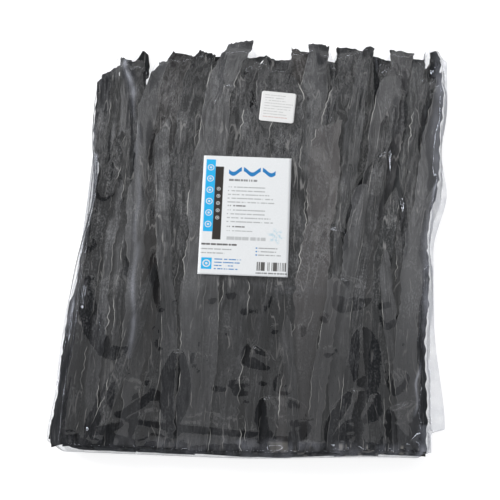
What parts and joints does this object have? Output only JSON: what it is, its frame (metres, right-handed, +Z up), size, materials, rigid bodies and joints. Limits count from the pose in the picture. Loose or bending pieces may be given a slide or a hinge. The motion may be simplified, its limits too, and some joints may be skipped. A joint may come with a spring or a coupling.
{
  "type": "clear film bag of dried kelp strips",
  "caption": "Flat clear film bag packed with long dried kelp strips, with a paper label and a small sticker on top; lies flat on its underside.",
  "frame": {"origin": "under the middle of the bag, on the surface that it lies on", "axes": "+X across the strips towards the loose film flap, +Y along the strips towards their loose tips, +Z up"},
  "size_m": [0.326, 0.371, 0.0365],
  "materials": {
    "film": "clear glossy food film over black dried kelp, with soft creases",
    "kelp": "matte dried kelp, charcoal black with a pale dusty bloom and thin brown torn edges",
    "label_paper": "smooth white printed paper with blue and brown bands",
    "sticker_paper": "off-white thermal paper with faint grey print lines"
  },
  "bodies": {
    "root": {"bag": "film", "label": "label_paper", "sticker": "sticker_paper"}
  },
  "joints": []
}
